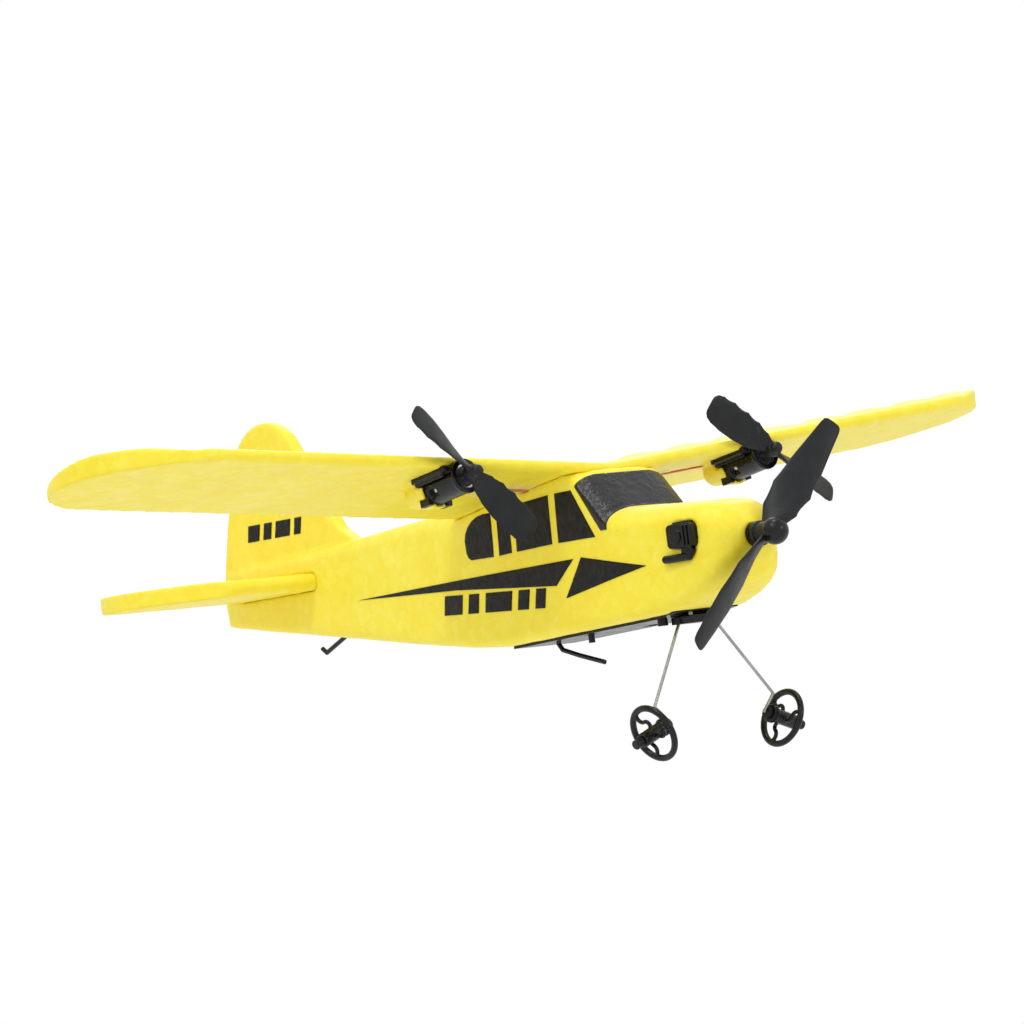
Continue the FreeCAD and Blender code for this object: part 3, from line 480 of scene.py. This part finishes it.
FINE = 0.7 * MM
wing_low, wing_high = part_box("wing_foam")
foam_piece("wing_foam", FINE, 3, wing_offset(wing_low, wing_high))
foam_fuselage = foam_piece("fuselage_foam", FINE, 4, plain_offset)
foam_piece("tailplane_foam", FINE, 3, plain_offset)


# ---------------------------------------------------------------- stickers draped over the foam
def tree_of(obj):
    bm = bmesh.new()
    bm.from_mesh(obj.data)
    tree = BVHTree.FromBMesh(bm)
    bm.free()
    return tree


FUSELAGE_TREE = tree_of(foam_fuselage)
CAD_FUSELAGE_TREE = tree_of(NODES["fuselage_foam"])
SINK = 0.07 * MM             # how far a sticker's back is pressed into the foam
CRUMPLE_SLOW = 420.0         # creases per metre in the windscreen film
CRUMPLE_QUICK = 1100.0
STICKER_STEP = 1.2 * MM
FILM_STEP = 0.7 * MM
FILM_CRUMPLE = 0.07 * MM


def diced(bm, step):
    """Cut a mesh along an even grid so that it can bend."""
    corners = [v.co for v in bm.verts]
    for axis in range(3):
        low = min(c[axis] for c in corners)
        high = max(c[axis] for c in corners)
        count = int((high - low) / step)
        direction = Vector((0, 0, 0))
        direction[axis] = 1.0
        for k in range(1, count + 1):
            place = direction * (low + k * (high - low) / (count + 1))
            parts = bm.verts[:] + bm.edges[:] + bm.faces[:]
            bmesh.ops.bisect_plane(bm, geom=parts, dist=1e-7, plane_co=place, plane_no=direction)


def draped(node, slot, step, crumple=0.0):
    """A sticker laid on the finished foam: each point keeps its height above the CAD skin."""
    bm = node_bmesh(node)
    diced(bm, step)
    for vertex in bm.verts:
        height = CAD_FUSELAGE_TREE.find_nearest(vertex.co)[3]
        place, normal, _, _ = FUSELAGE_TREE.find_nearest(vertex.co)
        lift = height - SINK
        if crumple and height > 0.1 * MM:
            slow = noise.noise(vertex.co * CRUMPLE_SLOW)
            quick = noise.noise(vertex.co * CRUMPLE_QUICK)
            lift += crumple * (slow + 0.6 * quick)
        vertex.co = place + normal * lift
    mesh = bpy.data.meshes.new(node + "_film")
    bm.to_mesh(mesh)
    bm.free()
    smooth_faces(mesh)
    mesh.set_sharp_from_angle(angle=math.radians(50))
    piece = new_piece(node + "_film", mesh, node, slot)
    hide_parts(node)
    return piece


for side in SIDES:
    for sticker in ("side_windows_", "side_flash_", "side_marking_", "fin_marking_"):
        draped(sticker + side, "sticker_black", STICKER_STEP)
draped("windscreen_film", "film_black", FILM_STEP, FILM_CRUMPLE)


# ---------------------------------------------------------------- harder pieces
def moulded(node, voxel, relax, keep=1.0):
    """A moulded plastic piece with the blends and soft corners a mould leaves.

    keep is the share of the skin's faces left once its shape is settled.
    """
    obj = remeshed(node, voxel, relax)
    if keep < 1.0:
        thin = obj.modifiers.new("thin", "DECIMATE")
        thin.ratio = keep
        applied(obj)
        smooth_faces(obj.data)
    obj.name = node + "_moulding"
    obj.data.materials.clear()
    obj.data.materials.append(MATERIALS[SLOTS[node]])
    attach(obj, node_body(node))
    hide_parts(node)
    return obj


def dress(node, slot):
    """Give a carried-over CAD node its material."""
    obj = NODES[node]
    obj.data.materials.clear()
    obj.data.materials.append(MATERIALS[slot])
    for polygon in obj.data.polygons:
        polygon.material_index = 0


for node, slot in SLOTS.items():
    dress(node, slot)

BLADE_VOXEL = 0.10 * MM      # finer than a blade's thin edge, so the edge stays whole
BLADE_RELAX = 14
BLADE_KEEP = 0.3
CAN_RING_INNER = 2.95 * MM


def paint_can_front_shade(side):
    """Painted shade: the can's steel front plate, inside its rolled rim, takes the dark magnet finish;
    only the rim stays bright steel.
    """
    mesh = NODES["motor_can_" + side].data
    mesh.materials.append(MATERIALS["magnet"])
    joint = JOINTS[side + "_propeller_spin"]
    place = Vector(joint["pos_m"])
    axis = Vector(joint["axis"]).normalized()
    for polygon in mesh.polygons:
        arm = polygon.center - place
        radius = (arm - axis * arm.dot(axis)).length
        # painted shade: front-facing faces inside the rim get the dark magnet finish
        if radius < CAN_RING_INNER and abs(polygon.normal.dot(axis)) > 0.7:
            polygon.material_index = 1


for side in SIDES:
    # paints shade into the can's front plate
    paint_can_front_shade(side)
    moulded("wing_propeller_" + side, BLADE_VOXEL, BLADE_RELAX, BLADE_KEEP)
    moulded("wheel_" + side, 0.17 * MM, 3)
    moulded("engine_cylinder_" + side, 0.16 * MM, 3)
    moulded("motor_mount_" + side, 0.22 * MM, 2)
moulded("nose_propeller", BLADE_VOXEL, BLADE_RELAX, BLADE_KEEP)
moulded("gear_clamp_block", 0.2 * MM, 3)


# ---------------------------------------------------------------- stage, light and camera
def floor_material():
    """Matt white that the camera sees evenly lit."""
    p = Paint("floor_white")
    tone = p.ramp(p.noise(2.0, 2.0), [(0.3, (0.85, 0.85, 0.85)), (0.7, (0.87, 0.87, 0.87))])
    p.set(base_color=tone, roughness=0.9)
    glow = p.tree.nodes.new("ShaderNodeEmission")
    glow.inputs["Strength"].default_value = 1.0
    rays = p.tree.nodes.new("ShaderNodeLightPath")
    blend = p.tree.nodes.new("ShaderNodeMixShader")
    p.link(rays.outputs["Is Camera Ray"], blend.inputs[0])
    p.link(p.bsdf.outputs[0], blend.inputs[1])
    p.link(glow.outputs[0], blend.inputs[2])
    p.link(blend.outputs[0], p.out.inputs["Surface"])
    return p.mat


FLOOR_HALF_SIDE = 30.0
FLOOR_Z = -0.30


def build_floor():
    """A wide pale floor well below the model."""
    bm = bmesh.new()
    bmesh.ops.create_grid(bm, x_segments=8, y_segments=8, size=FLOOR_HALF_SIDE)
    mesh = bpy.data.meshes.new("floor")
    bm.to_mesh(mesh)
    bm.free()
    floor = bpy.data.objects.new("floor", mesh)
    floor.location = (0, 0, FLOOR_Z)
    bpy.context.scene.collection.objects.link(floor)
    mesh.materials.append(floor_material())


def area_light(name, place, target, size, watts):
    data = bpy.data.lights.new(name, "AREA")
    data.size = size
    data.energy = watts
    lamp = bpy.data.objects.new(name, data)
    bpy.context.scene.collection.objects.link(lamp)
    lamp.location = place
    aim = Vector(target) - Vector(place)
    lamp.rotation_euler = aim.to_track_quat("-Z", "Y").to_euler()


# name, place, size and power in watts; each one faces the model
LIGHTS = [
    ("key", (0.5, -1.1, 1.5), 0.45, 7.0),
    ("rim", (-0.9, 0.9, 1.0), 0.5, 3.0),
    ("nose_strip", (1.5, 0.5, 0.5), 0.35, 2.0),
    ("overhead", (0.12, -0.02, 1.3), 0.4, 2.5),
]
MODEL_MIDDLE = (0.0, 0.0, 0.06)
SURROUND_LEVEL = 0.85        # how strongly the surround lights the model
SEEN_LEVEL = 1.0             # how bright the camera sees the surround


def build_light():
    """Even white surround, a soft key over the nose and a softer rim behind."""
    world = bpy.data.worlds.new("studio")
    world.use_nodes = True
    bpy.context.scene.world = world
    tree = world.node_tree
    sky = tree.nodes["Background"]
    sky.inputs["Color"].default_value = (1.0, 1.0, 1.0, 1.0)
    rays = tree.nodes.new("ShaderNodeLightPath")
    level = tree.nodes.new("ShaderNodeMapRange")
    level.inputs["To Min"].default_value = SURROUND_LEVEL
    level.inputs["To Max"].default_value = SEEN_LEVEL
    tree.links.new(rays.outputs["Is Camera Ray"], level.inputs["Value"])
    tree.links.new(level.outputs["Result"], sky.inputs["Strength"])
    for name, place, size, watts in LIGHTS:
        area_light(name, place, MODEL_MIDDLE, size, watts)


# the camera's own axes and place in the model's frame
CAMERA_RIGHT = Vector((0.62838, 0.76839, -0.12129))
CAMERA_UP = Vector((0.11247, 0.06455, 0.99156))
CAMERA_BACK = Vector((0.76974, -0.63671, -0.04586))
CAMERA_PLACE = Vector((1.21458, -0.99356, 0.00679))
CAMERA_LENS = 185.248


def build_camera():
    data = bpy.data.cameras.new("camera")
    data.lens = CAMERA_LENS
    data.sensor_width = 36.0
    data.clip_start = 0.01
    data.clip_end = 100.0
    camera = bpy.data.objects.new("camera", data)
    turn = Matrix((CAMERA_RIGHT, CAMERA_UP, CAMERA_BACK)).transposed().to_4x4()
    camera.matrix_world = Matrix.Translation(CAMERA_PLACE) @ turn
    bpy.context.scene.collection.objects.link(camera)
    bpy.context.scene.camera = camera


build_floor()
build_light()
build_camera()
bpy.context.scene.view_settings.view_transform = "Standard"
bpy.context.scene.view_settings.look = "None"
